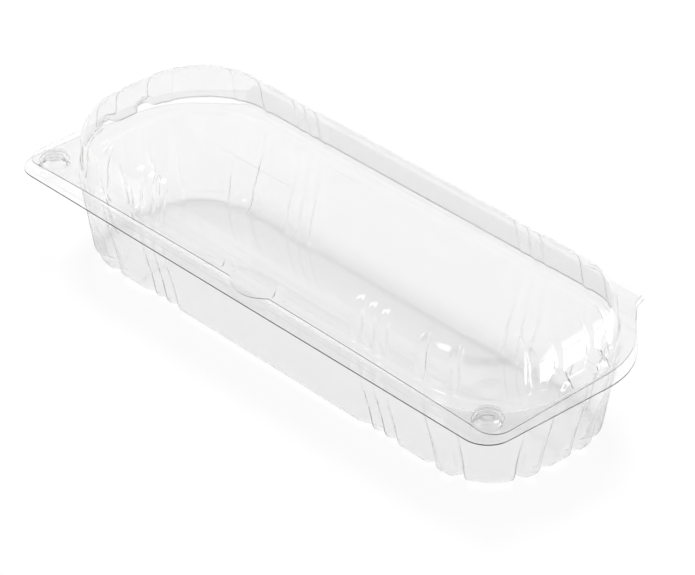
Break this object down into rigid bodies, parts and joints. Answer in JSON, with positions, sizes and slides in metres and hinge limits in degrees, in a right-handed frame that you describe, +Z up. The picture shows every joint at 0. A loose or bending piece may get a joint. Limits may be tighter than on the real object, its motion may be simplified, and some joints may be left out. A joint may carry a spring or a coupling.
{
  "type": "plastic clamshell pack",
  "caption": "Long clear hinged plastic pack with a tapered fluted tray, a domed fluted lid, snap buttons in the flange corners, a thumb tab and a folded hinge along the back.",
  "frame": {"origin": "middle of the pack on the surface it stands on, with the lid closed", "axes": "+X along the pack, -Y towards the opening front with the thumb tab, +Y towards the hinge, +Z up"},
  "size_m": [0.25, 0.097, 0.0601],
  "materials": {
    "clear_sheet": "clear gloss"
  },
  "bodies": {
    "tray": {"base_tray": "clear_sheet"},
    "lid": {"lid": "clear_sheet"}
  },
  "joints": [
    {"name": "lid_hinge", "type": "hinge", "parent": "tray", "child": "lid", "pos_m": [0, 0.04865, 0.0425], "axis": [-1, 0, 0], "range_deg": [0, 180]}
  ]
}
